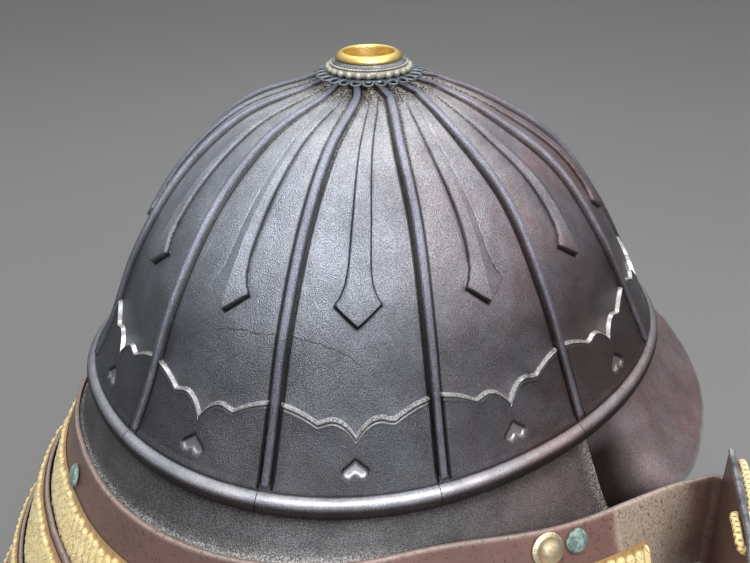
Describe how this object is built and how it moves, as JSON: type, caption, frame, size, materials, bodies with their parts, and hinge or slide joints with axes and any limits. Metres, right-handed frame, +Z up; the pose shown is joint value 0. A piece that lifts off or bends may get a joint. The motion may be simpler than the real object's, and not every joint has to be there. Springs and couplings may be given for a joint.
{
  "type": "kabuto samurai helmet",
  "caption": "Ridged iron samurai helmet with a peaked visor, pierced crown fitting, laced flaring neck guard and turned-back side plates.",
  "frame": {"origin": "the wearer's crown, where the head carries the helmet, inside the top of the bowl and on its centre line", "axes": "+Z up, -Y the way the wearer faces, +X to the wearer's left"},
  "size_m": [0.3348, 0.331, 0.2856],
  "materials": {
    "patinated_iron": "blue-grey patinated iron, fine grain, semi-gloss",
    "russet_lacquer": "worn russet-brown lacquer over iron",
    "yellow_silk": "braided yellow silk cord",
    "grey_fitting_metal": "worn grey fitting metal with pale edges",
    "gilt_copper": "bright gilt, worn on the rivets",
    "verdigris_copper": "matte green verdigris over copper"
  },
  "bodies": {
    "root": {"bowl_plate_01": "patinated_iron", "bowl_plate_02": "patinated_iron", "bowl_plate_03": "patinated_iron", "bowl_plate_04": "patinated_iron", "bowl_plate_05": "patinated_iron", "bowl_plate_06": "patinated_iron", "bowl_plate_07": "patinated_iron", "bowl_plate_08": "patinated_iron", "bowl_plate_09": "patinated_iron", "bowl_plate_10": "patinated_iron", "bowl_plate_11": "patinated_iron", "bowl_plate_12": "patinated_iron", "koshimaki": "patinated_iron", "visor": "patinated_iron", "lame_1": "russet_lacquer", "lame_2": "russet_lacquer", "lame_3": "russet_lacquer", "lame_4": "russet_lacquer", "lame_5": "russet_lacquer", "lacing_1": "yellow_silk", "lacing_2": "yellow_silk", "lacing_3": "yellow_silk", "lacing_4": "yellow_silk", "turnback_rim_left": "grey_fitting_metal", "turnback_cord_left": "yellow_silk", "rivet_gilt_left": "gilt_copper", "rivet_copper_left": "verdigris_copper", "turnback_rim_right": "grey_fitting_metal", "turnback_cord_right": "yellow_silk", "rivet_gilt_right": "gilt_copper", "rivet_copper_right": "verdigris_copper", "rivet_copper_back": "verdigris_copper", "tehen_petal_ring": "grey_fitting_metal", "tehen_pearl_ring": "grey_fitting_metal", "tehen_milled_ring": "grey_fitting_metal", "tehen_stepped_ring": "grey_fitting_metal", "tehen_gilt_collar": "gilt_copper"}
  },
  "joints": []
}
